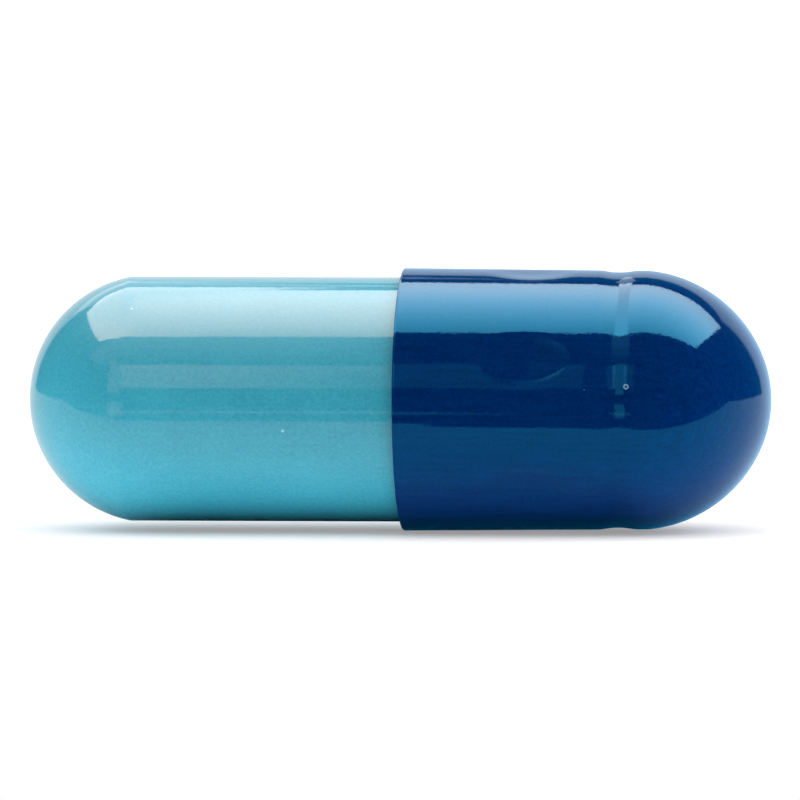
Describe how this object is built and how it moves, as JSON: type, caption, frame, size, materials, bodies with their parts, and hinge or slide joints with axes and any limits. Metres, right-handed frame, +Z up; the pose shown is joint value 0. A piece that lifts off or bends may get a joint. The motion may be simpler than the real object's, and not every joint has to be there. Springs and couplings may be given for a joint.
{
  "type": "two-piece hard capsule",
  "caption": "Closed hard-shell capsule lying on its side: an aqua body and a wider dark blue cap that slides off, around tamped powder.",
  "frame": {"origin": "centre of the capsule's bounding box in X and Y, on the surface it lies on", "axes": "+X along the capsule's axis towards the cap's tip, the way the cap slides off; +Z up"},
  "size_m": [0.0218, 0.0076, 0.0076],
  "materials": {
    "aqua_shell": "glossy gelatin",
    "blue_shell": "glossy gelatin",
    "powder": "tamped powder"
  },
  "bodies": {
    "body": {"capsule_body": "aqua_shell", "powder_fill": "powder"},
    "cap": {"capsule_cap": "blue_shell"}
  },
  "joints": [
    {"name": "cap_slide", "type": "slide", "parent": "body", "child": "cap", "axis": [1, 0, 0], "range_m": [0, 0.012]}
  ]
}
